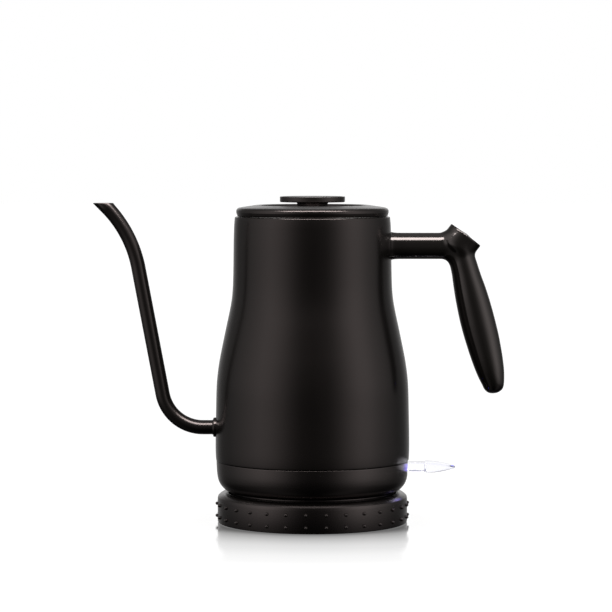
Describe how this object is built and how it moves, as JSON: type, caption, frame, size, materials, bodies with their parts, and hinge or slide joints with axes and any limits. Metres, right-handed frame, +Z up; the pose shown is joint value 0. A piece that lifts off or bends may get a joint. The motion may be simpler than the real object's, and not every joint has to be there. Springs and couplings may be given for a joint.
{
  "type": "electric kettle",
  "caption": "Cordless electric gooseneck kettle with a pour-over spout, side grip, lift-off lid and a round power base.",
  "frame": {"origin": "centre of the power base on the table plane", "axes": "+Z up out of the lid, +X towards the handle and switch, -X towards the spout, -Y towards the viewer"},
  "size_m": [0.2912, 0.1376, 0.2308],
  "materials": {
    "rubber_black": "matte black silicone rubber",
    "plastic_black": "satin black moulded plastic",
    "plastic_dark": "dark grey moulded plastic, inside parts",
    "handle_black": "satin gloss black plastic",
    "coat_black": "matte black powder coat over stainless steel",
    "steel": "stainless steel",
    "zinc_steel": "zinc plated screws",
    "brass": "contact brass",
    "aluminium": "rolled aluminium",
    "bimetal": "bimetal sheet",
    "silicone_grey": "translucent grey silicone",
    "clear_plastic": "clear acrylic lens, lit from inside",
    "led_blue": "blue indicator light",
    "board_green": "printed circuit board",
    "tube_white": "natural polypropylene"
  },
  "bodies": {
    "base": {"base_sleeve": "rubber_black", "base_tray": "plastic_dark", "base_deck": "plastic_black", "base_connector": "plastic_dark", "connector_contacts": "brass", "connector_screws": "zinc_steel", "base_screws": "zinc_steel", "cord_gland": "rubber_black", "cord_clamp": "plastic_dark", "clamp_screws": "zinc_steel"},
    "inlet": {"inlet_socket": "plastic_dark", "inlet_pin": "brass", "inlet_ring": "brass"},
    "kettle": {"body_shell": "coat_black", "kettle_floor": "steel", "diffuser_plate": "aluminium", "heating_element": "aluminium", "control_unit": "plastic_dark", "dry_boil_discs": "bimetal", "steam_disc": "bimetal", "contact_leaves": "brass", "control_screws": "zinc_steel", "base_cup": "plastic_black", "cup_screws": "zinc_steel", "hinge_pins": "zinc_steel", "indicator_led": "led_blue", "led_board": "board_green", "steam_tube": "tube_white", "steam_tube_seal": "silicone_grey", "spout_tube": "coat_black", "spout_flange": "coat_black", "handle_front_half": "handle_black", "handle_rear_half": "handle_black", "thumb_cap": "handle_black", "handle_bracket": "steel", "handle_screws": "zinc_steel"},
    "switch": {"switch_paddle": "clear_plastic"},
    "trip": {"trip_lever": "plastic_dark"},
    "lid": {"lid_cover": "coat_black", "lid_inner": "steel", "lid_seal": "silicone_grey", "lid_knob": "handle_black", "lid_screw": "zinc_steel"}
  },
  "joints": [
    {"name": "kettle_lift", "type": "slide", "parent": "base", "child": "inlet", "axis": [0, 0, 1], "range_m": [0, 0.06]},
    {"name": "kettle_swivel", "type": "hinge", "parent": "inlet", "child": "kettle", "pos_m": [0, 0, 0.0292], "axis": [0, 0, 1], "continuous": true},
    {"name": "lid_lift", "type": "slide", "parent": "kettle", "child": "lid", "axis": [0, 0, 1], "range_m": [0, 0.045]},
    {"name": "switch_hinge", "type": "hinge", "parent": "kettle", "child": "switch", "pos_m": [0.06, 0, 0.041], "axis": [0, -1, 0], "range_deg": [0, 8]},
    {"name": "trip_hinge", "type": "hinge", "parent": "kettle", "child": "trip", "pos_m": [0.05, 0, 0.041], "axis": [0, 1, 0], "range_deg": [0, 6]}
  ],
  "couplings": [
    {"joint": "trip_hinge", "follows": "switch_hinge", "ratio": 0.75}
  ]
}
